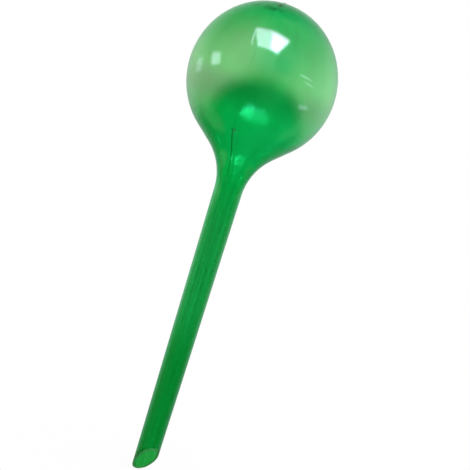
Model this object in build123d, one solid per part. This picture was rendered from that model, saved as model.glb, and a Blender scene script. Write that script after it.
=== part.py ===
from build123d import *
import math
import os

# Watering globe: hollow bulb on a slim open stem, blow moulded between two mould halves.
# Lengths in millimetres, angles in degrees, Z up the stem, parting plane at X = 0.

# Outside of the globe
OVERALL_LENGTH = 273.5
BULB_DIAMETER = 80.0
BULB_HEIGHT = 83.2
SHOULDER_ANGLE = 48.0
NECK_RADIUS = 31.5
STEM_TOP_DIAMETER = 15.65
STEM_TIP_DIAMETER = 12.9

# Oblique cut at the tip: its angle to the stem, and the side that its point is on
TIP_ANGLE = 34.0
TIP_POINT_TURN = 128.0

# Walls and the calibrated mouth
BULB_WALL = 0.9
CROWN_WALL = 1.4
STEM_WALL = 1.3
MOUTH_BORE = 10.4
MOUTH_DEPTH = 36.0

# Pinch welds in the parting plane
WELD_WIDTH = 2.4
WELD_DROP = 26.5
OUTER_BEAD = 0.3
INNER_BEAD = 0.5
CROWN_WELD_LENGTH = 28.0
NIB_WIDTH = 1.4
NIB_LENGTH = 6.0
NIB_HEIGHT = 0.6

# Values worked out from the sizes above
BULB_CENTRE = OVERALL_LENGTH - BULB_HEIGHT / 2
NECK_SLOPE = math.tan(math.radians(SHOULDER_ANGLE))
WELD_TOP = BULB_CENTRE - WELD_DROP
RUN_OUT = STEM_TIP_DIAMETER / 2
FRONT = Plane((0, 0, 0), x_dir=(0, -1, 0), z_dir=(-1, 0, 0))


def neck_points(bulb_r, bulb_half, stem_r):
    """Where the bulb's curve meets the neck cone, and where that cone meets the stem."""
    turn = math.atan(bulb_half / bulb_r * NECK_SLOPE)
    shoulder_r = bulb_r * math.cos(turn)
    shoulder_z = BULB_CENTRE - bulb_half * math.sin(turn)
    corner_z = shoulder_z - (shoulder_r - stem_r) / NECK_SLOPE
    return math.degrees(turn), (shoulder_r, shoulder_z), (stem_r, corner_z)


def half_section(bulb_r, bulb_half, stem_r, neck_r, stem_end):
    """Half section of a globe-shaped body, down to the points of stem_end and closed on the axis."""
    turn, shoulder, corner = neck_points(bulb_r, bulb_half, stem_r)
    top = (0, BULB_CENTRE + bulb_half)
    bulb = EllipticalCenterArc((0, BULB_CENTRE), bulb_r, bulb_half, -turn, arc_size=90 + turn)
    neck = FilletPolyline(shoulder, corner, stem_end[0], radius=neck_r)
    close = Polyline(*stem_end, (0, stem_end[-1][1]), top)
    return make_face(bulb.edges() + neck.edges() + close.edges())


def outer_section(grow=0.0):
    """Half section of the outside, grown all over by a bead."""
    bulb_r = BULB_DIAMETER / 2 + grow
    bulb_half = BULB_HEIGHT / 2 + grow
    stem_r = STEM_TOP_DIAMETER / 2 + grow
    corner_z = neck_points(bulb_r, bulb_half, stem_r)[2][1]
    tip_r = STEM_TIP_DIAMETER / 2 + grow
    end_r = tip_r - (stem_r - tip_r) * RUN_OUT / corner_z
    return half_section(bulb_r, bulb_half, stem_r, NECK_RADIUS - grow, [(end_r, -RUN_OUT)])


def inner_section(shrink=0.0):
    """Half section of the hollow, shrunk by a bead that fades out at the mouth."""
    bulb_r = BULB_DIAMETER / 2 - BULB_WALL - shrink
    bulb_half = BULB_HEIGHT / 2 - CROWN_WALL - shrink
    stem_r = STEM_TOP_DIAMETER / 2 - STEM_WALL - shrink
    mouth_r = MOUTH_BORE / 2
    mouth = [(mouth_r, MOUTH_DEPTH), (mouth_r, -2 * RUN_OUT)]
    return half_section(bulb_r, bulb_half, stem_r, NECK_RADIUS + STEM_WALL + shrink, mouth)


def spin(section):
    """Revolve a half section about the stem, starting at the front."""
    return revolve(FRONT * section, Axis.Z)


def tip_cutter():
    """Everything beyond the oblique cut."""
    turn = math.radians(TIP_POINT_TURN)
    lean = math.radians(TIP_ANGLE)
    side = Vector(math.cos(turn), math.sin(turn), 0)
    away = side * -math.cos(lean) - Vector(0, 0, math.sin(lean))
    cut = Plane(side * (STEM_TIP_DIAMETER / 2), z_dir=away)
    width = 6 * STEM_TIP_DIAMETER
    return cut * Box(width, width, width, align=(Align.CENTER, Align.CENTER, Align.MIN))


def stem_slot(side):
    """The strip that a stem weld takes out of the walls, at the front or the rear."""
    low = -3 * RUN_OUT
    strip = Box(WELD_WIDTH, BULB_DIAMETER, WELD_TOP - low, align=(Align.CENTER, side, Align.MIN))
    return Pos(0, 0, low) * strip


def crown_slot():
    """The strip that the crown weld takes out of the walls."""
    above = (Align.CENTER, Align.CENTER, Align.MIN)
    return Pos(0, 0, BULB_CENTRE) * Box(WELD_WIDTH, CROWN_WELD_LENGTH, BULB_HEIGHT, align=above)


def half_wall(keep):
    """Wall of one mould half, cut back for the three welds and cut off at the tip."""
    wall = spin(outer_section()) - spin(inner_section())
    wall = wall - stem_slot(Align.MAX) - stem_slot(Align.MIN)
    wall = wall - crown_slot() - tip_cutter()
    return split(wall, Plane.YZ, keep=keep)


def stem_weld(side):
    """Weld strip down one side of neck and stem, proud of the wall outside and inside."""
    strip = spin(outer_section(OUTER_BEAD)) & stem_slot(side)
    return strip - spin(inner_section(INNER_BEAD)) - tip_cutter()


def crown_weld():
    """Weld strip over the crown, cut along the parting plane, with the trimmed nib of the flash on it."""
    band = outer_section(OUTER_BEAD) - inner_section(INNER_BEAD)
    strip = extrude(FRONT * band, WELD_WIDTH / 2, both=True)
    strip = (strip + mirror(strip, Plane.XZ)) & crown_slot()
    nib = Box(NIB_WIDTH, NIB_LENGTH, 2 * (OUTER_BEAD + NIB_HEIGHT))
    return strip + Pos(0, 0, OVERALL_LENGTH) * nib


nodes = {
    "left_half_wall": half_wall(Keep.BOTTOM),
    "right_half_wall": half_wall(Keep.TOP),
    "front_pinch_weld": stem_weld(Align.MAX),
    "rear_pinch_weld": stem_weld(Align.MIN),
    "crown_pinch_weld": crown_weld(),
}
os.makedirs("parts", exist_ok=True)
for name, solid in nodes.items():
    solid.label = name
    export_step(solid, f"parts/{name}.step")
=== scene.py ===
"""Looks of the watering globe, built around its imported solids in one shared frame."""

import math

import bmesh
import bpy
from bpy.props import FloatProperty, FloatVectorProperty, IntProperty, PointerProperty
from mathutils import Matrix, Vector


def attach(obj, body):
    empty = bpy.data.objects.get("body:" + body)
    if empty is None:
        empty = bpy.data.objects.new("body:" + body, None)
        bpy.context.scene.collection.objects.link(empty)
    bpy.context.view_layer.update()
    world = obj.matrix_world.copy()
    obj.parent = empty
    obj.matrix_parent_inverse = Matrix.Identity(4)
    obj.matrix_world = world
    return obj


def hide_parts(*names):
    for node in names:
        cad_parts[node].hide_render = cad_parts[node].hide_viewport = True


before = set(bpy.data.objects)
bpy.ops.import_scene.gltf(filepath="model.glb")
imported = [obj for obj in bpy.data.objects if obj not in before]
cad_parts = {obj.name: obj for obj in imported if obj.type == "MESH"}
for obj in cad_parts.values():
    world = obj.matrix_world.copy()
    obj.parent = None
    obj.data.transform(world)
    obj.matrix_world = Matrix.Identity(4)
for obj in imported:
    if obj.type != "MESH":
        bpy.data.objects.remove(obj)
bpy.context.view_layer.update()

bl_info = {
    "name": "Watering Globe",
    "version": (1, 0, 0),
    "blender": (4, 5, 0),
    "location": "3D View > Sidebar > Globe",
    "description": "Blow-moulded watering globe with its pinch welds, on a plain stage",
    "category": "Object",
}

# Rings of faces down a half wall: beside the crown weld, to the middle of the bulb, to the stem welds
CAP_RINGS = 26
BULB_RINGS = 64
LOW_RINGS = 30

# Rings from the top of the stem welds to the foot of the neck, down the stem and at the tip
FINE_RINGS = 8
NECK_RINGS = 44
STEM_RINGS = 60
TIP_RINGS = 26

# Height of the tip's rings, in heights of the oblique cut
TIP_REACH = 1.6

# Faces across and along the welds
STEM_WELD_COLUMNS = 32
CROWN_WELD_COLUMNS = 24
CROWN_WELD_ROWS = 120

# Groove down the left edge of the front weld and over its top, in half widths of the weld
GROOVE_START = -0.8
GROOVE_WIDTH = 0.5
TOP_GROOVE_WIDTH = 0.6
TOP_GROOVE_FADE = 0.25

# Share of the weld's drop in which that groove gains its depth
GROOVE_RUN = 1 / 1.5

# Rounds in which a point of the tip is moved down its side to the cut
CUT_ROUNDS = 8

# Material slots of every piece
CLEAR = 0
FUSED = 1
SAWN = 2

# How fine the drawn streaks of the two clear plastics are
STREAK_FINENESS = {"wall_plastic": 4.5, "weld_plastic": 9.0}


# Properties

def length(name, description, default):
    """A length that a user may change, in metres."""
    return FloatProperty(
        name=name, description=description, default=default, subtype="DISTANCE", unit="LENGTH"
    )


def angle(name, description, degrees):
    """An angle that a user may change, kept in radians."""
    return FloatProperty(
        name=name, description=description, default=math.radians(degrees), subtype="ANGLE"
    )


def amount(name, description, default):
    """A plain number that a user may change."""
    return FloatProperty(name=name, description=description, default=default, min=0.0)


def colour(name, description, default):
    """A linear colour that a user may change."""
    return FloatVectorProperty(
        name=name, description=description, default=default, subtype="COLOR", size=3, min=0.0, max=1.0
    )


class GlobeSizes(bpy.types.PropertyGroup):
    """Sizes of the wall and its welds."""

    overall_length: length("Overall length", "From the point of the tip to the crown", 0.2735)
    bulb_diameter: length("Bulb diameter", "Widest ring of the bulb", 0.080)
    bulb_height: length("Bulb height", "Height that the bulb would have without its neck", 0.0832)
    shoulder_angle: angle("Shoulder angle", "Lean of the neck cone from the stem", 48.0)
    neck_radius: length("Neck radius", "Hollow of the curve between bulb and stem", 0.0315)
    stem_top: length("Stem top", "Diameter of the stem below the neck", 0.01565)
    stem_tip: length("Stem tip", "Diameter of the stem at its point", 0.0129)
    tip_angle: angle("Tip angle", "Angle of the oblique cut to the stem", 34.0)
    tip_turn: angle("Tip turn", "Side that the point of the tip is on", 128.0)
    bulb_wall: length("Bulb wall", "Thickness of the wall round the bulb", 0.0009)
    crown_wall: length("Crown wall", "Thickness of the wall at the crown", 0.0014)
    stem_wall: length("Stem wall", "Thickness of the wall of the stem", 0.0013)
    mouth_bore: length("Mouth bore", "Bore of the calibrated mouth", 0.0104)
    mouth_depth: length("Mouth depth", "Length of the calibrated mouth", 0.036)
    weld_width: length("Weld width", "Width of the pinch welds", 0.0024)
    weld_drop: length("Weld drop", "Top of the stem welds below the middle of the bulb", 0.0265)
    outer_bead: length("Outer bead", "Height of the welds outside the wall", 0.0003)
    inner_bead: length("Inner bead", "Height of the welds inside the wall", 0.0005)
    trim: amount("Trim", "Share of a bead's height that is left where the bead is trimmed", 0.25)
    bead_rise: length("Bead rise", "Length of stem in which the front bead gains its full height", 0.02)
    crown_weld: length("Crown weld", "Length of the weld over the crown", 0.028)
    nib_width: length("Nib width", "Width of the trimmed nib on the crown", 0.0014)
    nib_length: length("Nib length", "Length of the trimmed nib on the crown", 0.006)
    nib_height: length("Nib height", "Height of the trimmed nib on the crown", 0.00012)
    seam: length("Seam", "Hairline that shows where two pieces of the wall meet", 0.00001)
    cut_round: length("Cut round", "Rounding of the cut edges at the tip", 0.00016)
    columns: IntProperty(name="Columns", description="Columns of faces round each half", default=96, min=16)


class GlobeFinish(bpy.types.PropertyGroup):
    """Colour and surface of the plastic."""

    crown_tint: colour("Crown tint", "What the wall near the crown lets through", (0.115, 0.825, 0.4))
    bulb_tint: colour("Bulb tint", "What the upper wall of the bulb lets through", (0.093, 0.678, 0.276))
    shoulder_tint: colour("Shoulder tint", "What the bulb's lower wall lets through", (0.0335, 0.53, 0.208))
    neck_tint: colour("Neck tint", "What the wall of the neck lets through", (0.045, 0.685, 0.29))
    stem_tint: colour("Stem tint", "What the wall of the stem lets through", (0.0585, 0.555, 0.207))
    tip_tint: colour("Tip tint", "What the wall at the tip lets through", (0.0258, 0.398, 0.073))
    cut_tint: colour("Cut tint", "Colour of the sawn face at the tip", (0.03, 0.33, 0.065))
    drift: amount("Drift", "How much thinner the bulb's wall is on its front right, thicker opposite", 0.6)
    streak_depth: amount("Streak depth", "How much the drawn streaks change the tint", 0.65)
    gloss: amount("Gloss", "Roughness of the clean surface", 0.08)
    haze: amount("Haze", "Roughness that handling adds in patches", 0.03)


class GlobeStage(bpy.types.PropertyGroup):
    """Camera, room and lamps."""

    lens: FloatProperty(name="Lens", description="Focal length", default=76.6, subtype="DISTANCE_CAMERA")
    azimuth: angle("Azimuth", "Turn of the camera round the globe", 10.5)
    elevation: angle("Elevation", "Height of the camera over the horizon", 10.0)
    roll: angle("Roll", "Lean of the camera", 17.325)
    distance: length("Distance", "From the camera to the bulb, along its view", 0.5301)
    bulb_right: length("Bulb right", "Bulb to the right of the picture's middle", 0.01432)
    bulb_up: length("Bulb up", "Bulb above the picture's middle", 0.0818)
    tent_radius: length("Tent radius", "From the middle of the bulb to the tent that it reflects", 0.12)
    left_side: amount("Left side", "Brightness of the tent on the left", 2.7)
    right_side: amount("Right side", "Brightness of the tent on the right", 2.35)
    front_side: amount("Front side", "Brightness of the tent over the front", 2.35)
    backdrop_tone: colour("Backdrop tone", "Colour of the backdrop in reflections", (0.49, 0.74, 0.55))
    tent_tone: colour("Tent tone", "Colour of the tent", (1.0, 0.76, 0.7))
    window_tone: colour("Window tone", "Colour of the windows' light", (0.78, 0.66, 0.95))
    floor_tone: colour("Floor tone", "Colour of the floor", (1.0, 1.0, 1.0))
    floor_radius: length("Floor radius", "From the tip to the edge of the floor", 1.5)


# Section of the wall

def bulb_centre(sizes):
    """Height of the middle of the bulb."""
    return sizes.overall_length - sizes.bulb_height / 2


def weld_top(sizes):
    """Height at which the two stem welds end."""
    return bulb_centre(sizes) - sizes.weld_drop


def between(a, b, share):
    """The value that lies that share of the way from a to b."""
    return a + (b - a) * share


class WallSide:
    """One side of the wall in half section: an ellipse, a neck cone, a hollow curve and the stem."""

    def __init__(self, centre, bulb_r, bulb_half, slope, stem_r, neck_r, feet):
        self.centre = centre
        self.bulb_r = bulb_r
        self.bulb_half = bulb_half
        self.neck_r = neck_r
        turn = math.atan(bulb_half / bulb_r * slope)
        self.shoulder = Vector((bulb_r * math.cos(turn), centre - bulb_half * math.sin(turn)))
        corner = Vector((stem_r, self.shoulder.y - (self.shoulder.x - stem_r) / slope))
        up = (self.shoulder - corner).normalized()
        down = (feet(corner)[0] - corner).normalized()
        half = up.angle(down) / 2
        reach = neck_r / math.tan(half)
        self.neck_top = corner + up * reach
        self.neck_middle = corner + (up + down).normalized() * (neck_r / math.sin(half))
        self.stem = [corner + down * reach, *feet(corner)]

    def radius(self, z):
        """Radius at a height below the middle of the bulb."""
        if z >= self.shoulder.y:
            return self.bulb_r * math.sqrt(1 - ((z - self.centre) / self.bulb_half) ** 2)
        if z >= self.neck_top.y:
            share = (z - self.neck_top.y) / (self.shoulder.y - self.neck_top.y)
            return between(self.neck_top.x, self.shoulder.x, share)
        if z >= self.stem[0].y:
            return self.neck_middle.x - math.sqrt(self.neck_r ** 2 - (z - self.neck_middle.y) ** 2)
        for upper, lower in zip(self.stem, self.stem[1:]):
            if z >= lower.y:
                return between(lower.x, upper.x, (z - lower.y) / (upper.y - lower.y))
        return self.stem[-1].x

    def crown(self, radius):
        """Height at a radius above the middle of the bulb."""
        return self.centre + self.bulb_half * math.sqrt(max(0.0, 1 - (radius / self.bulb_r) ** 2))


def outside(sizes, grow=0.0):
    """Outer side of the wall, grown by a bead."""
    stem_r = sizes.stem_top / 2 + grow
    tip_r = sizes.stem_tip / 2 + grow

    def feet(corner):
        below = sizes.stem_tip
        return [Vector((tip_r - (stem_r - tip_r) * below / corner.y, -below))]

    return WallSide(
        bulb_centre(sizes), sizes.bulb_diameter / 2 + grow, sizes.bulb_height / 2 + grow,
        math.tan(sizes.shoulder_angle), stem_r, sizes.neck_radius - grow, feet,
    )


def inside(sizes, shrink=0.0):
    """Inner side of the wall, shrunk by a bead that fades out at the mouth."""
    mouth_r = sizes.mouth_bore / 2

    def feet(corner):
        return [Vector((mouth_r, sizes.mouth_depth)), Vector((mouth_r, -sizes.stem_tip))]

    return WallSide(
        bulb_centre(sizes), sizes.bulb_diameter / 2 - sizes.bulb_wall - shrink,
        sizes.bulb_height / 2 - sizes.crown_wall - shrink, math.tan(sizes.shoulder_angle),
        sizes.stem_top / 2 - sizes.stem_wall - shrink, sizes.neck_radius + sizes.stem_wall + shrink, feet,
    )


def cut_height(sizes, x, y):
    """Height of the oblique cut over a point of the floor."""
    along = x * math.cos(sizes.tip_turn) + y * math.sin(sizes.tip_turn)
    return (sizes.stem_tip / 2 - along) / math.tan(sizes.tip_angle)


def neck_foot(sizes):
    """Height at which the neck's curve runs into the stem."""
    return outside(sizes).stem[0].y


def stem_heights(sizes):
    """Heights of the rings from the top of the welds down to where the tip's rings begin."""
    top = weld_top(sizes)
    foot = neck_foot(sizes)
    fine_step = 0.00012
    neck_start = top - fine_step * FINE_RINGS
    tip_start = TIP_REACH * sizes.stem_tip / math.tan(sizes.tip_angle)
    heights = [top - fine_step * i for i in range(FINE_RINGS)]
    heights += [between(neck_start, foot, i / NECK_RINGS) for i in range(NECK_RINGS)]
    heights += [between(foot, tip_start, i / STEM_RINGS) for i in range(STEM_RINGS + 1)]
    return heights


def line_rows(sizes):
    """Rows of the front weld, from its top to the neck's foot, where its left edge shows as a line."""
    foot = neck_foot(sizes)
    return sum(z > foot for z in stem_heights(sizes)) - 1


# Meshes

def new_object(name, data):
    """A new object in the scene."""
    made = bpy.data.objects.new(name, data)
    bpy.context.scene.collection.objects.link(made)
    return made


def mesh_object(name, bm):
    """A new object with the faces of a bmesh."""
    mesh = bpy.data.meshes.new(name)
    bm.to_mesh(mesh)
    bm.free()
    return new_object(name, mesh)


def piece(name, bm, node, material):
    """Make an object of a bmesh, ride it on the body and let it stand for its solid."""
    bmesh.ops.recalc_face_normals(bm, faces=bm.faces)
    for face in bm.faces:
        face.smooth = True
    made = mesh_object(name, bm)
    for part in (material, plastic("fused_joint"), plastic("sawn_plastic")):
        made.data.materials.append(part)
    weighted = made.modifiers.new("even_normals", "WEIGHTED_NORMAL")
    weighted.keep_sharp = True
    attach(made, "root")
    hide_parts(node)


def close_rim(bm, outer, inner, cut, fused):
    """Join two matching rims with a strip of faces: cut runs are rounded later, fused runs don't show."""
    edges = []
    for a in range(len(outer)):
        b = (a + 1) % len(outer)
        corners = list(dict.fromkeys((outer[a], outer[b], inner[b], inner[a])))
        face = bm.faces.new(corners)
        face.material_index = SAWN if a in cut else FUSED if a in fused else CLEAR
        for first, second in ((outer[a], outer[b]), (inner[a], inner[b])):
            edge = bm.edges.get((first, second))
            if a in cut:
                edges.append(edge)
            else:
                edge.smooth = False
    return edges


def round_cut(bm, edges, rounding):
    """Round the edges of the sawn face."""
    bmesh.ops.bevel(
        bm, geom=edges, offset=rounding, segments=2, profile=0.5, affect="EDGES", material=SAWN
    )


def half_wall(sizes, hand):
    """Wall of one mould half, open at the welds and cut off at the tip."""
    half_weld = sizes.weld_width / 2 + sizes.seam
    reach = sizes.crown_weld / 2 + sizes.seam
    count = sizes.columns
    sides = (outside(sizes), inside(sizes))
    heights = stem_heights(sizes)
    middle = CAP_RINGS + BULB_RINGS
    weld = middle + LOW_RINGS
    stem_end = weld + len(heights) - 1
    last = stem_end + TIP_RINGS

    def ring(side, k):
        """Radius and height of a ring, before the cut."""
        if k <= CAP_RINGS:
            radius = between(half_weld, reach, k / CAP_RINGS)
            return radius, side.crown(radius)
        if k <= middle:
            start = math.acos(reach / side.bulb_r)
            turn = start * (1 - (k - CAP_RINGS) / BULB_RINGS)
            return side.bulb_r * math.cos(turn), side.centre + side.bulb_half * math.sin(turn)
        if k < weld:
            deepest = math.asin(sizes.weld_drop / sides[0].bulb_half)
            z = side.centre - sides[0].bulb_half * math.sin(deepest * (k - middle) / LOW_RINGS)
            return side.radius(z), z
        z = heights[min(k, stem_end) - weld]
        return side.radius(z), z

    def around(radius, j):
        """Turn of a column at a radius, from the front."""
        edge = math.asin(min(1.0, half_weld / radius))
        if j == 0:
            return math.asin(sizes.seam / radius)
        if j == count:
            return math.pi - math.asin(sizes.seam / radius)
        return edge + (math.pi - 2 * edge) * (j - 1) / (count - 2)

    def place(side, k, j):
        """Point of a ring and column, with the last rings drawn down to the cut."""
        radius, z = ring(side, k)
        turn = around(radius, j)
        if k > stem_end:
            foot = 0.0
            for _ in range(CUT_ROUNDS):
                radius = side.radius(foot)
                turn = around(radius, j)
                foot = cut_height(sizes, hand * radius * math.sin(turn), -radius * math.cos(turn))
            z = between(z, foot, (k - stem_end) / TIP_RINGS)
            radius = side.radius(z)
            turn = around(radius, j)
        return hand * radius * math.sin(turn), -radius * math.cos(turn), z

    bm = bmesh.new()
    grids = []
    for side in sides:
        grid = {}
        for k in range(last + 1):
            wide = CAP_RINGS <= k <= weld
            for j in range(0 if wide else 1, count + 1 if wide else count):
                if k == 0 and j > 1:
                    grid[k, j] = grid[0, 1]
                else:
                    grid[k, j] = bm.verts.new(place(side, k, j))
        for k in range(last):
            wide = CAP_RINGS <= k < weld
            for j in range(0 if wide else 1, count if wide else count - 1):
                corners = [grid[k, j], grid[k, j + 1], grid[k + 1, j + 1], grid[k + 1, j]]
                bm.faces.new(list(dict.fromkeys(corners)))
        grids.append(grid)
    front = [(k, 1) for k in range(last, weld, -1)]
    front += [(weld, 1)]
    front += [(k, 0) for k in range(weld, CAP_RINGS - 1, -1)]
    front += [(k, 1) for k in range(CAP_RINGS, -1, -1)]
    rear = [(k, count - 1) for k in range(1, CAP_RINGS + 1)]
    rear += [(k, count) for k in range(CAP_RINGS, weld + 1)]
    rear += [(k, count - 1) for k in range(weld, last)]
    tip = [(last, j) for j in range(count - 1, 1, -1)]
    rim = front + rear + tip
    beside_front = range(last - weld - (line_rows(sizes) if hand < 0 else 0))
    beside_crown = range(last - CAP_RINGS + 1, len(front) + CAP_RINGS)
    beside_rear = range(len(front) + weld, len(front) + len(rear))
    cut = range(len(front) + len(rear), len(rim))
    outer, inner = ([grid[at] for at in rim] for grid in grids)
    edges = close_rim(bm, outer, inner, cut, {*beside_front, *beside_crown, *beside_rear})
    round_cut(bm, edges, sizes.cut_round)
    return bm


def rounded_bead(across):
    """Share of a bead's height at a share of its half width."""
    return 0.5 + 0.5 * math.cos(math.pi * across)


def groove(away, width):
    """Share of a groove's depth at a distance from its edge."""
    share = away / width
    return math.sin(math.pi * share) ** 2 if 0.0 < share < 1.0 else 0.0


def strip(place, rows, columns, fused_sides, rounding=0.0, line=0):
    """Closed strip between an outer and an inner grid of points.

    With a rounding its foot is a sawn end, and along a first line of rows its left side isn't fused.
    """
    steps = [between(-1, 1, i / columns) for i in range(columns + 1)]
    bm = bmesh.new()
    grids = [
        [[bm.verts.new(place(side, across, k)) for across in steps] for k in range(rows)]
        for side in (0, 1)
    ]
    rims = []
    for grid in grids:
        for upper, lower in zip(grid, grid[1:]):
            for j in range(columns):
                bm.faces.new((upper[j], upper[j + 1], lower[j + 1], lower[j]))
        right = [row[-1] for row in grid[:-1]]
        left = [row[0] for row in reversed(grid[1:])]
        rims.append(grid[0][:-1] + right + grid[-1][:0:-1] + left)
    along = rows - 1
    runs = {
        "top": range(columns),
        "right": range(columns, columns + along),
        "foot": range(columns + along, 2 * columns + along),
        "left": range(2 * columns + along, 2 * columns + 2 * along - line),
    }
    fused = {a for side in fused_sides for a in runs[side]}
    cut = runs["foot"] if rounding > 0 else ()
    edges = close_rim(bm, rims[0], rims[1], cut, fused)
    if edges:
        round_cut(bm, edges, rounding)
    return bm


def stem_weld(sizes, hand):
    """Weld strip down one side of neck and stem, proud of the wall outside and inside."""
    half_weld = sizes.weld_width / 2
    heights = stem_heights(sizes)
    top = weld_top(sizes)
    foot = neck_foot(sizes)
    wall = (outside(sizes), inside(sizes))
    bead = (outside(sizes, sizes.outer_bead), inside(sizes, sizes.inner_bead))
    at_front = hand < 0

    def proud(side, across, z):
        """Share of the bead that stands proud: trimmed, but at the front grooved, and full on the stem."""
        trimmed = sizes.trim * rounded_bead(across)
        if side == 1 or not at_front:
            return trimmed
        if z < foot:
            return rounded_bead(across) * min(1.0, sizes.trim + (foot - z) / sizes.bead_rise)
        edge = groove(across - GROOVE_START, GROOVE_WIDTH)
        end = groove((top - z) / half_weld, TOP_GROOVE_WIDTH) * min(1.0, (1 - abs(across)) / TOP_GROOVE_FADE)
        deep = min(1.0, (z - foot) / (GROOVE_RUN * sizes.weld_drop))
        return trimmed - deep * max(edge, end)

    def reach(side, across, z):
        """How far the strip's outer or inner side lies from the middle plane of the globe."""
        radius = between(wall[side].radius(z), bead[side].radius(z), proud(side, across, z))
        return hand * math.sqrt(radius ** 2 - (across * half_weld) ** 2)

    def place(side, across, k):
        """Point of the strip, with the last rows drawn down to the cut."""
        x = across * half_weld
        beyond = k - len(heights) + 1
        z = heights[min(k, len(heights) - 1)]
        if beyond > 0:
            end = 0.0
            for _ in range(CUT_ROUNDS):
                end = cut_height(sizes, x, reach(side, across, end))
            z = between(z, end, beyond / TIP_RINGS)
        return x, reach(side, across, z), z

    rows = len(heights) + TIP_RINGS
    if at_front:
        return strip(place, rows, STEM_WELD_COLUMNS, ("right", "left"), sizes.cut_round, line_rows(sizes))
    return strip(place, rows, STEM_WELD_COLUMNS, ("top", "right", "left"), sizes.cut_round)


def crown_weld(sizes):
    """Weld strip over the crown, with the trimmed nib of the flash on it."""
    half_weld = sizes.weld_width / 2
    half_length = sizes.crown_weld / 2
    wall = (outside(sizes), inside(sizes))
    bead = (outside(sizes, sizes.outer_bead), inside(sizes, sizes.inner_bead))

    def ease(distance, width):
        """Smooth step from 1 inside an edge to 0 outside it."""
        share = min(1.0, max(0.0, 0.5 - distance / width))
        return share * share * (3 - 2 * share)

    def place(side, across, i):
        """Point of the strip, its outer side raised into the nib."""
        x = across * half_weld
        y = between(-half_length, half_length, i / CROWN_WELD_ROWS)
        low = wall[side].crown(math.hypot(x, y))
        run_out = ease(abs(y) - half_length + sizes.weld_width, 2 * sizes.weld_width)
        z = between(low, bead[side].crown(abs(y)), sizes.trim * rounded_bead(across) * run_out)
        if side == 0:
            edge = ease(abs(x) - sizes.nib_width / 2, sizes.nib_width / 3)
            end = ease(abs(y) - sizes.nib_length / 2, sizes.nib_width / 2)
            z += sizes.nib_height * edge * end
        return x, y, z

    return strip(place, CROWN_WELD_ROWS + 1, CROWN_WELD_COLUMNS, ("top", "right", "foot", "left"))


# Shader nodes

def bare_nodes(owner):
    """The emptied nodes of a new material, lamp or world."""
    owner.use_nodes = True
    owner.node_tree.nodes.clear()
    return owner.node_tree.nodes


def show(nodes, shader, kind="Material"):
    """Send a shader out of its material, lamp or world."""
    out = nodes.new(f"ShaderNodeOutput{kind}")
    feed(out.inputs["Surface"], shader.outputs[0])


def new_group(name, inputs, outputs):
    """An empty shader node group with named sockets, and its input and output nodes."""
    group = bpy.data.node_groups.new(name, "ShaderNodeTree")
    for label, kind, default in inputs:
        socket = group.interface.new_socket(label, in_out="INPUT", socket_type=kind)
        socket.default_value = default
    for label, kind in outputs:
        group.interface.new_socket(label, in_out="OUTPUT", socket_type=kind)
    return group.nodes, group.nodes.new("NodeGroupInput").outputs, group.nodes.new("NodeGroupOutput").inputs


def feed(socket, value):
    """Set a socket to a plain value, or link it to another socket."""
    if isinstance(value, bpy.types.NodeSocket):
        socket.id_data.links.new(value, socket)
    elif value is not None:
        socket.default_value = value


def math_node(nodes, operation, first, *others):
    """Math nodes that carry one operation along a row of plain numbers or links."""
    for other in others or (None,):
        node = nodes.new("ShaderNodeMath")
        node.operation = operation
        feed(node.inputs[0], first)
        feed(node.inputs[1], other)
        first = node.outputs[0]
    return first


def vector_node(nodes, operation, first, second=None):
    """A Vector Math node."""
    node = nodes.new("ShaderNodeVectorMath")
    node.operation = operation
    feed(node.inputs[0], first)
    feed(node.inputs[1], second)
    return node.outputs["Value" if operation in ("DOT_PRODUCT", "LENGTH") else "Vector"]


def split_node(nodes, vector):
    """The three parts of a vector."""
    node = nodes.new("ShaderNodeSeparateXYZ")
    feed(node.inputs[0], vector)
    return node.outputs


def join_node(nodes, x=None, y=None, z=None):
    """A vector of up to three parts."""
    node = nodes.new("ShaderNodeCombineXYZ")
    for socket, value in zip(node.inputs, (x, y, z)):
        feed(socket, value)
    return node.outputs[0]


def range_node(nodes, value, from_low, from_high, to_low, to_high):
    """A smooth Map Range node."""
    node = nodes.new("ShaderNodeMapRange")
    node.interpolation_type = "SMOOTHSTEP"
    labels = ("Value", "From Min", "From Max", "To Min", "To Max")
    for label, wanted in zip(labels, (value, from_low, from_high, to_low, to_high)):
        feed(node.inputs[label], wanted)
    return node.outputs["Result"]


def noise_node(nodes, place, scale, detail):
    """A Noise Texture node."""
    node = nodes.new("ShaderNodeTexNoise")
    for label, wanted in (("Vector", place), ("Scale", scale), ("Detail", detail)):
        feed(node.inputs[label], wanted)
    return node.outputs["Fac"]


def mix_colour(nodes, share, first, second, blend="MIX"):
    """A Mix node for colours."""
    node = nodes.new("ShaderNodeMix")
    node.data_type = "RGBA"
    node.blend_type = blend
    feed(node.inputs["Factor"], share)
    feed(node.inputs[6], first)
    feed(node.inputs[7], second)
    return node.outputs[2]


def own_place(nodes):
    """Where a point lies in the shared frame."""
    return nodes.new("ShaderNodeTexCoord").outputs["Object"]


# Materials

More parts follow.
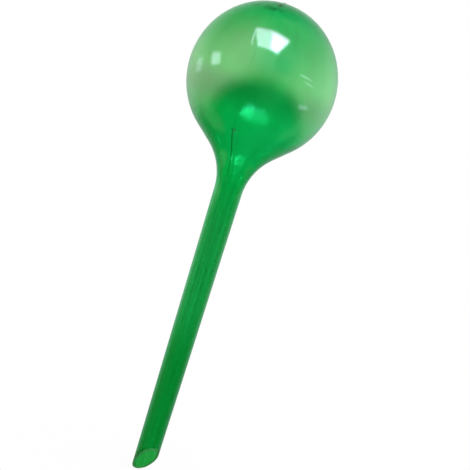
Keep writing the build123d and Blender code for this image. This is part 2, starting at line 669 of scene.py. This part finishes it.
def drawn_streaks():
    """Node group: streaks that run down the wall from the crown to the tip, as the hot plastic was drawn."""
    nodes, given, result = new_group(
        "drawn_streaks",
        (("Fineness", "NodeSocketFloat", 6.0), ("Length", "NodeSocketFloat", 0.08)),
        (("Streak", "NodeSocketFloat"), ("Ripple", "NodeSocketFloat")),
    )
    place = own_place(nodes)
    x, y, z = split_node(nodes, place)
    flat = join_node(nodes, x, y)
    drop = join_node(nodes, z=math_node(nodes, "DIVIDE", z, given["Length"]))
    along = vector_node(nodes, "ADD", vector_node(nodes, "NORMALIZE", flat), drop)
    streak = range_node(nodes, noise_node(nodes, along, given["Fineness"], 3.0), 0.3, 0.7, 0.0, 1.0)
    radius = vector_node(nodes, "LENGTH", flat)
    stem_r = 0.0082
    neck_r = 0.013
    left_on_bulb = 0.35
    drawn = range_node(nodes, radius, stem_r, neck_r, 1.0, left_on_bulb)
    feed(result["Streak"], math_node(nodes, "MULTIPLY", streak, drawn))
    feed(result["Ripple"], noise_node(nodes, place, 45.0, 1.0))


def handled_surface():
    """Node group: roughness of a clean moulded surface with soft patches of handling and fine specks."""
    nodes, given, result = new_group(
        "handled_surface",
        (("Gloss", "NodeSocketFloat", 0.02), ("Haze", "NodeSocketFloat", 0.05)),
        (("Roughness", "NodeSocketFloat"), ("Speck", "NodeSocketFloat")),
    )
    place = own_place(nodes)
    cover = range_node(nodes, noise_node(nodes, place, 60.0, 4.0), 0.45, 0.75, 0.0, 1.0)
    rough = math_node(nodes, "MULTIPLY", cover, given["Haze"])
    feed(result["Roughness"], math_node(nodes, "ADD", rough, given["Gloss"]))
    dots = nodes.new("ShaderNodeTexVoronoi")
    feed(dots.inputs["Vector"], place)
    feed(dots.inputs["Scale"], 220.0)
    feed(result["Speck"], range_node(nodes, dots.outputs["Distance"], 0.05, 0.16, 1.0, 0.0))


def height_tint():
    """Node group: tint of the wall, as its thickness changes from the crown to the tip and round the bulb."""
    stops = ("Crown", "Bulb", "Shoulder", "Neck", "Stem", "Tip")
    steps = ("Crown Edge", "Middle", "Shoulder Foot", "Stem Top", "Tip Edge")
    nodes, given, result = new_group(
        "height_tint",
        [(f"{stop} Tint", "NodeSocketColor", (1, 1, 1, 1)) for stop in stops]
        + [(step, "NodeSocketFloat", 0.0) for step in steps]
        + [(f"{step} Blend", "NodeSocketFloat", 0.01) for step in steps]
        + [("Thin Side", "NodeSocketVector", (0, 0, 0))],
        (("Tint", "NodeSocketColor"),),
    )
    place = own_place(nodes)
    height = split_node(nodes, place)[2]
    tint = given["Crown Tint"]
    for stop, step in zip(stops[1:], steps):
        low = math_node(nodes, "SUBTRACT", given[step], given[f"{step} Blend"])
        high = math_node(nodes, "ADD", given[step], given[f"{step} Blend"])
        below = range_node(nodes, height, low, high, 1.0, 0.0)
        tint = mix_colour(nodes, below, tint, given[f"{stop} Tint"])
    thinner = vector_node(nodes, "DOT_PRODUCT", place, given["Thin Side"])
    depth = nodes.new("ShaderNodeGamma")
    feed(depth.inputs["Color"], tint)
    feed(depth.inputs["Gamma"], math_node(nodes, "SUBTRACT", 1.0, thinner))
    feed(result["Tint"], depth.outputs["Color"])


def wall_patch():
    """Node group: mask of a patch where the tint changes, with an even or a ragged edge: a thicker smear, a
    paler band on the stem and a painted glow.
    """
    nodes, given, result = new_group(
        "wall_patch",
        (
            ("Middle", "NodeSocketVector", (0, 0, 0)), ("Reach", "NodeSocketVector", (0.01, 0.01, 0.01)),
            ("Ragged", "NodeSocketFloat", 0.0),
        ),
        (("Patch", "NodeSocketFloat"),),
    )
    place = own_place(nodes)
    away = vector_node(nodes, "SUBTRACT", place, given["Middle"])
    away = vector_node(nodes, "LENGTH", vector_node(nodes, "DIVIDE", away, given["Reach"]))
    pulled_in = range_node(nodes, noise_node(nodes, place, 230.0, 2.0), 0.35, 0.65, 0.0, given["Ragged"])
    edge = math_node(nodes, "ADD", away, pulled_in)
    feed(result["Patch"], range_node(nodes, edge, 0.4, 1.1, 1.0, 0.0))


def placed(nodes, name, **values):
    """Place a node group in a material with its own values."""
    node = nodes.new("ShaderNodeGroup")
    node.node_tree = bpy.data.node_groups[name]
    for label, value in values.items():
        feed(node.inputs[label.replace("_", " ")], value)
    return node.outputs


def opaque(tone):
    """A colour with its fourth part."""
    return (*tone, 1.0)


def clear_plastic(name, sizes, finish):
    """Clear green plastic with drawn streaks, soft haze and faint ripples."""
    material = bpy.data.materials.new(name)
    nodes = bare_nodes(material)
    streaks = placed(nodes, "drawn_streaks", Fineness=STREAK_FINENESS[name], Length=0.35)
    surface = placed(nodes, "handled_surface", Gloss=finish.gloss, Haze=finish.haze)
    centre = bulb_centre(sizes)
    tint = placed(
        nodes, "height_tint",
        Crown_Tint=opaque(finish.crown_tint), Bulb_Tint=opaque(finish.bulb_tint),
        Shoulder_Tint=opaque(finish.shoulder_tint), Neck_Tint=opaque(finish.neck_tint),
        Stem_Tint=opaque(finish.stem_tint), Tip_Tint=opaque(finish.tip_tint),
        Crown_Edge=between(centre, sizes.overall_length, 0.75), Crown_Edge_Blend=0.012,
        Middle=centre - 0.0015, Middle_Blend=0.006,
        Shoulder_Foot=centre - 0.016, Shoulder_Foot_Blend=0.008,
        Stem_Top=0.135, Stem_Top_Blend=0.075,
        Tip_Edge=0.0135, Tip_Edge_Blend=0.001,
        Thin_Side=heading(31, 0) * finish.drift / (sizes.bulb_diameter / 2),
    )
    seen = tint["Tint"]
    # Two patches of paler tint. On the rear wall of the upper bulb, behind the windows' reflection, it is a
    # painted glow round that reflection. Round the middle of the stem it is a paler band.
    for middle, reach, thinner in (
        ((-0.001, 0.0355, centre + 0.018), (0.019, 0.019, 0.017), (0.06, 0.68, 0.26)),
        ((0.0, 0.0, 0.123), (0.04, 0.04, 0.05), (0.104, 0.625, 0.274)),
    ):
        paler_patch = placed(nodes, "wall_patch", Middle=middle, Reach=reach)
        seen = mix_colour(nodes, paler_patch["Patch"], seen, opaque(thinner))
    smear = placed(
        nodes, "wall_patch", Ragged=0.5,
        Middle=(-0.002, -0.0185, centre + 0.0367), Reach=(0.0105, 0.0034, 0.0034),
    )
    drawn = math_node(nodes, "MULTIPLY", streaks["Streak"], finish.streak_depth)
    for share, thicker in ((drawn, (0.35, 0.72, 0.5)), (smear["Patch"], (0.25, 0.58, 0.48))):
        seen = mix_colour(nodes, share, seen, opaque(thicker), "MULTIPLY")
    streak_relief = math_node(nodes, "MULTIPLY", streaks["Streak"], 0.4)
    speck_relief = math_node(nodes, "MULTIPLY", surface["Speck"], 0.05)
    bump = nodes.new("ShaderNodeBump")
    bump.inputs["Strength"].default_value = 0.05
    bump.inputs["Distance"].default_value = 0.0004
    feed(bump.inputs["Height"], math_node(nodes, "ADD", streak_relief, streaks["Ripple"], speck_relief))
    shader = nodes.new("ShaderNodeBsdfPrincipled")
    shader.inputs["Metallic"].default_value = 0.0
    shader.inputs["Transmission Weight"].default_value = 1.0
    shader.inputs["IOR"].default_value = 1.53
    feed(shader.inputs["Base Color"], seen)
    feed(shader.inputs["Roughness"], surface["Roughness"])
    feed(shader.inputs["Normal"], bump.outputs["Normal"])
    show(nodes, shader)
    return material


def joint_plastic(name):
    """Faces inside the plastic where a weld has fused with the wall, so that no surface shows there."""
    material = bpy.data.materials.new(name)
    nodes = bare_nodes(material)
    show(nodes, nodes.new("ShaderNodeBsdfTransparent"))
    return material


def sawn_plastic(name, finish):
    """Matt face that the saw left at the tip, with fine scores."""
    material = bpy.data.materials.new(name)
    nodes = bare_nodes(material)
    scores = noise_node(nodes, own_place(nodes), 900.0, 2.0)
    deep = opaque(0.8 * part for part in finish.cut_tint)
    shader = nodes.new("ShaderNodeBsdfPrincipled")
    feed(shader.inputs["Base Color"], mix_colour(nodes, scores, deep, opaque(finish.cut_tint)))
    feed(shader.inputs["Roughness"], range_node(nodes, scores, 0.3, 0.7, 0.4, 0.6))
    shader.inputs["Specular IOR Level"].default_value = 0.2
    show(nodes, shader)
    return material


def plastic(name):
    """One of the globe's plastics, made the first time that it is asked for."""
    scene = bpy.context.scene
    finish = scene.globe_finish
    if "drawn_streaks" not in bpy.data.node_groups:
        drawn_streaks()
        handled_surface()
        height_tint()
        wall_patch()
    if name in bpy.data.materials:
        return bpy.data.materials[name]
    if name == "fused_joint":
        return joint_plastic(name)
    if name == "sawn_plastic":
        return sawn_plastic(name, finish)
    return clear_plastic(name, scene.globe_sizes, finish)


# Stage

def heading(azimuth, elevation):
    """Direction of a compass angle, from the front round to the right, and a height, in degrees."""
    a = math.radians(azimuth)
    e = math.radians(elevation)
    return Vector((math.sin(a) * math.cos(e), -math.cos(a) * math.cos(e), math.sin(e)))


def make_camera(stage, bulb):
    """The camera at the photograph's viewing angle."""
    toward = heading(math.degrees(stage.azimuth), math.degrees(stage.elevation))
    level = heading(math.degrees(stage.azimuth) + 90, 0)
    upright = toward.cross(level)
    right = level * math.cos(stage.roll) + upright * math.sin(stage.roll)
    up = upright * math.cos(stage.roll) - level * math.sin(stage.roll)
    data = bpy.data.cameras.new("camera")
    data.lens = stage.lens
    data.sensor_width = 36.0
    made = new_object("camera", data)
    turn = Matrix((right, up, toward)).transposed().to_4x4()
    place = bulb - right * stage.bulb_right - up * stage.bulb_up + toward * stage.distance
    made.matrix_world = Matrix.Translation(place) @ turn
    bpy.context.scene.camera = made


def off_middle(nodes, share, whole, part):
    """How far a share of a window's whole width lies from its middle, counted in a part of that width."""
    return math_node(nodes, "MULTIPLY", math_node(nodes, "SUBTRACT", share, 0.5), whole / part)


def make_window(name, tone, place, facing, size, level, soft, lean, slants):
    """A bright window that the globe reflects and that the camera doesn't see, with a share of soft edge.

    It may lean in its plane by some degrees, and its left and right edges may slant by a share of its depth.
    """
    data = bpy.data.lights.new(name, "AREA")
    data.shape = "RECTANGLE"
    width = size[0] / (1 - soft)
    data.size_y = size[1] / (1 - soft)
    data.size = width + data.size_y * max(abs(slant) for slant in slants)
    data.energy = level * math.pi * data.size * data.size_y
    data.color = tone
    nodes = bare_nodes(data)
    spot = split_node(nodes, nodes.new("ShaderNodeNewGeometry").outputs["Parametric"])
    across = off_middle(nodes, spot[0], data.size, width)
    along = off_middle(nodes, spot[1], 1.0, 1.0)
    cover = range_node(nodes, math_node(nodes, "ABSOLUTE", along), 0.5 - soft, 0.5, 1.0, 0.0)
    for slant, edge in zip(slants, (0.5, -0.5)):
        shift = math_node(nodes, "MULTIPLY", along, slant * data.size_y / width)
        inner = edge * (1 - 2 * soft)
        shown = range_node(nodes, math_node(nodes, "SUBTRACT", across, shift), edge, inner, 0.0, 1.0)
        cover = math_node(nodes, "MULTIPLY", cover, shown)
    glow = nodes.new("ShaderNodeEmission")
    feed(glow.inputs["Strength"], cover)
    show(nodes, glow, "Light")
    made = new_object(name, data)
    made.location = place
    made.rotation_euler = facing.to_track_quat("Z", "Y").to_euler()
    made.rotation_euler.rotate_axis("Z", math.radians(lean))
    made.visible_camera = False
    made.visible_diffuse = False


def lobe(nodes, ray, way, inner, outer, beyond=0.0, within=1.0):
    """A value within a cone round a direction that changes smoothly to another one beyond its outer edge."""
    near = vector_node(nodes, "DOT_PRODUCT", ray, way)
    low = math.cos(math.radians(outer))
    high = math.cos(math.radians(inner))
    return range_node(nodes, near, low, high, beyond, within)


def glow_round(nodes, ray, way, power, level):
    """Soft glow round a direction, falling with a power of the cosine."""
    near = math_node(nodes, "MAXIMUM", vector_node(nodes, "DOT_PRODUCT", ray, way), 0.0)
    return math_node(nodes, "MULTIPLY", math_node(nodes, "POWER", near, power), level)


def band(nodes, height, middle, width):
    """Soft band round a height."""
    away = math_node(nodes, "DIVIDE", math_node(nodes, "SUBTRACT", height, middle), width)
    return math_node(nodes, "EXPONENT", math_node(nodes, "MULTIPLY", away, away, -1.0))


def bounced_ray(nodes):
    """1 for a ray that the globe has reflected, 0 for one that comes straight or through its walls."""
    path = nodes.new("ShaderNodeLightPath")
    return math_node(nodes, "GREATER_THAN", path.outputs["Glossy Depth"], 0.5)


def make_world(stage):
    """White all round, of which the globe's reflections show only a backdrop and faint light from below."""
    world = bpy.data.worlds.new("studio")
    bpy.context.scene.world = world
    nodes = bare_nodes(world)
    white = (1.0, 1.0, 1.0, 1.0)
    dark = (0.0, 0.0, 0.0, 1.0)
    ray = nodes.new("ShaderNodeTexCoord").outputs["Generated"]
    height = split_node(nodes, ray)[2]
    behind = math_node(
        nodes, "MULTIPLY", lobe(nodes, ray, heading(203, 0), 5, 135),
        range_node(nodes, height, -0.85, -0.1, 0.0, 1.0), range_node(nodes, height, 0.3, 0.98, 1.0, 0.0),
    )
    backdrop = mix_colour(nodes, behind, dark, opaque(stage.backdrop_tone))
    for way, reach, level in ((heading(-95, -50), 21, 0.3), (heading(110, -44), 15, 0.14)):
        low_light = lobe(nodes, ray, way, 3, reach, 0.0, level)
        backdrop = mix_colour(nodes, low_light, backdrop, opaque(stage.tent_tone))
    background = nodes.new("ShaderNodeBackground")
    feed(background.inputs["Color"], mix_colour(nodes, bounced_ray(nodes), white, backdrop))
    background.inputs["Strength"].default_value = 1.0
    show(nodes, background, "World")


def make_tent(stage, bulb):
    """A pale tent round the bulb, seen in its reflections alone: bright sides, dark below and in front."""
    bm = bmesh.new()
    bmesh.ops.create_icosphere(bm, subdivisions=5, radius=stage.tent_radius)
    made = mesh_object("tent", bm)
    made.location = bulb
    material = bpy.data.materials.new("pale_tent")
    nodes = bare_nodes(material)
    material.cycles.emission_sampling = "NONE"
    ray = vector_node(nodes, "NORMALIZE", own_place(nodes))
    x, y, height = split_node(nodes, ray)
    level_ray = vector_node(nodes, "NORMALIZE", join_node(nodes, x, y))
    glows = []
    for azimuth, power, level, middle, width in (
        (-50, 1.75, stage.left_side, -0.12, 0.57),
        (77, 2.15, stage.right_side, 0.09, 0.68),
    ):
        side = glow_round(nodes, level_ray, heading(azimuth, 0), power, level)
        glows.append(math_node(nodes, "MULTIPLY", side, band(nodes, height, middle, width)))
    glows.append(glow_round(nodes, ray, heading(-24, 34), 6.0, stage.front_side))
    tilted = math_node(nodes, "SUBTRACT", height, math_node(nodes, "MULTIPLY", x, 0.03))
    hem = range_node(nodes, tilted, -0.77, -0.47, 0.0, 1.0)
    dark_below = lobe(nodes, ray, heading(20, -50), 40.5, 65.5, 1.0, 0.0)
    dim_patch = lobe(nodes, ray, heading(33, 24), 2, 15, 1.0, 0.6)
    level = math_node(
        nodes, "MULTIPLY", math_node(nodes, "ADD", *glows), hem, dark_below, dim_patch, bounced_ray(nodes)
    )
    glow = nodes.new("ShaderNodeEmission")
    glow.inputs["Color"].default_value = opaque(stage.tent_tone)
    feed(glow.inputs["Strength"], level)
    both = nodes.new("ShaderNodeAddShader")
    feed(both.inputs[0], glow.outputs[0])
    feed(both.inputs[1], nodes.new("ShaderNodeBsdfTransparent").outputs[0])
    show(nodes, both)
    made.data.materials.append(material)


def make_floor(stage):
    """A pale round floor under the tip: white to the camera, with a soft shadow."""
    bm = bmesh.new()
    bmesh.ops.create_circle(bm, cap_ends=True, segments=96, radius=stage.floor_radius)
    made = mesh_object("floor", bm)
    material = bpy.data.materials.new("pale_floor")
    nodes = bare_nodes(material)
    own_light = 0.9
    matt = nodes.new("ShaderNodeBsdfDiffuse")
    matt.inputs["Color"].default_value = opaque(stage.floor_tone)
    glow = nodes.new("ShaderNodeEmission")
    glow.inputs["Color"].default_value = opaque(stage.floor_tone)
    glow.inputs["Strength"].default_value = 1.0
    clear = nodes.new("ShaderNodeBsdfTransparent")
    lit = nodes.new("ShaderNodeMixShader")
    whole = nodes.new("ShaderNodeMixShader")
    for mix, share, first, second in ((lit, own_light, matt, glow), (whole, bounced_ray(nodes), lit, clear)):
        feed(mix.inputs[0], share)
        feed(mix.inputs[1], first.outputs[0])
        feed(mix.inputs[2], second.outputs[0])
    show(nodes, whole)
    made.data.materials.append(material)


# Operators

class GLOBE_OT_walls(bpy.types.Operator):
    """Make the two half walls of the globe"""

    bl_idname = "globe.walls"
    bl_label = "Half Walls"

    def execute(self, context):
        sizes = context.scene.globe_sizes
        material = plastic("wall_plastic")
        for name, hand in (("left", -1), ("right", 1)):
            made = half_wall(sizes, hand)
            piece(f"{name}_wall", made, f"{name}_half_wall", material)
        return {"FINISHED"}


class GLOBE_OT_stem_welds(bpy.types.Operator):
    """Make the pinch welds down the front and the rear of the stem"""

    bl_idname = "globe.stem_welds"
    bl_label = "Stem Welds"

    def execute(self, context):
        sizes = context.scene.globe_sizes
        material = plastic("weld_plastic")
        for name, hand in (("front", -1), ("rear", 1)):
            made = stem_weld(sizes, hand)
            piece(f"{name}_weld", made, f"{name}_pinch_weld", material)
        return {"FINISHED"}


class GLOBE_OT_crown_weld(bpy.types.Operator):
    """Make the pinch weld over the crown with its trimmed nib"""

    bl_idname = "globe.crown_weld"
    bl_label = "Crown Weld"

    def execute(self, context):
        made = crown_weld(context.scene.globe_sizes)
        piece("crown_weld", made, "crown_pinch_weld", plastic("weld_plastic"))
        return {"FINISHED"}


class GLOBE_OT_stage(bpy.types.Operator):
    """Set up the camera, the floor, the room and the windows"""

    bl_idname = "globe.stage"
    bl_label = "Stage"

    def execute(self, context):
        scene = context.scene
        stage = scene.globe_stage
        bulb = Vector((0, 0, bulb_centre(scene.globe_sizes)))
        make_camera(stage, bulb)
        make_world(stage)
        make_tent(stage, bulb)
        make_floor(stage)
        tone = stage.window_tone
        above = 0.548
        far = 0.59
        near = 0.395
        blurred = 0.25
        skylight = bulb + heading(2.1, 54.8) * above
        overhead = Vector((0, 0, 1))
        for name, shift, size, level, soft, lean, slants in (
            ("left_pane", (-0.068, 0.012, 0.0), (0.197, 0.315), 8.5, 0.1, 0, (-0.158, -0.295)),
            ("right_pane", (0.1065, 0.01, 0.002), (0.157, 0.29), 23.0, blurred, 0, (-0.295, -0.04)),
            ("pane_slat", (-0.214, -0.005, 0.004), (0.016, 0.3), 9.0, blurred, -8, (0.0, 0.0)),
        ):
            place = skylight + Vector(shift)
            make_window(name, tone, place, overhead, size, level, soft, lean, slants)
        for name, way, away, size, level, lean, slant in (
            ("side_window", heading(-68.2, 8.1), far, (0.16, 0.142), 5.0, 17, -0.27),
            ("far_window", heading(-99.2, -2.9), far, (0.14, 0.115), 1.6, 9, -0.19),
            ("low_window", heading(84.9, -14.2), near, (0.104, 0.031), 2.4, 10, -0.5),
            ("upper_slat", heading(77.6, 18.1), far, (0.21, 0.010), 7.0, -15, 0.0),
            ("lower_slat", heading(82.6, 11.5), far, (0.17, 0.010), 5.0, -15, 0.0),
        ):
            make_window(name, tone, bulb + way * away, way, size, level, blurred, lean, (slant, slant))
        scene.view_settings.view_transform = "Standard"
        return {"FINISHED"}


class GLOBE_PT_panel(bpy.types.Panel):
    """Lists the pieces of the globe and its sizes"""

    bl_idname = "GLOBE_PT_panel"
    bl_label = "Watering Globe"
    bl_space_type = "VIEW_3D"
    bl_region_type = "UI"
    bl_category = "Globe"

    def draw(self, context):
        for operator in OPERATORS:
            self.layout.operator(operator.bl_idname)
        for group in (context.scene.globe_sizes, context.scene.globe_finish, context.scene.globe_stage):
            box = self.layout.box()
            for name in group.bl_rna.properties.keys():
                if name not in ("rna_type", "name"):
                    box.prop(group, name)


OPERATORS = (GLOBE_OT_walls, GLOBE_OT_stem_welds, GLOBE_OT_crown_weld, GLOBE_OT_stage)
CLASSES = (GlobeSizes, GlobeFinish, GlobeStage, *OPERATORS, GLOBE_PT_panel)


def register():
    """Register the classes and hang the properties on the scene."""
    for item in CLASSES:
        bpy.utils.register_class(item)
    bpy.types.Scene.globe_sizes = PointerProperty(type=GlobeSizes)
    bpy.types.Scene.globe_finish = PointerProperty(type=GlobeFinish)
    bpy.types.Scene.globe_stage = PointerProperty(type=GlobeStage)


def unregister():
    """Take the properties and the classes away again."""
    del bpy.types.Scene.globe_stage
    del bpy.types.Scene.globe_finish
    del bpy.types.Scene.globe_sizes
    for item in reversed(CLASSES):
        bpy.utils.unregister_class(item)


def main():
    """Build every piece in order."""
    register()
    bpy.ops.globe.walls()
    bpy.ops.globe.stem_welds()
    bpy.ops.globe.crown_weld()
    bpy.ops.globe.stage()


if __name__ == "__main__":
    main()
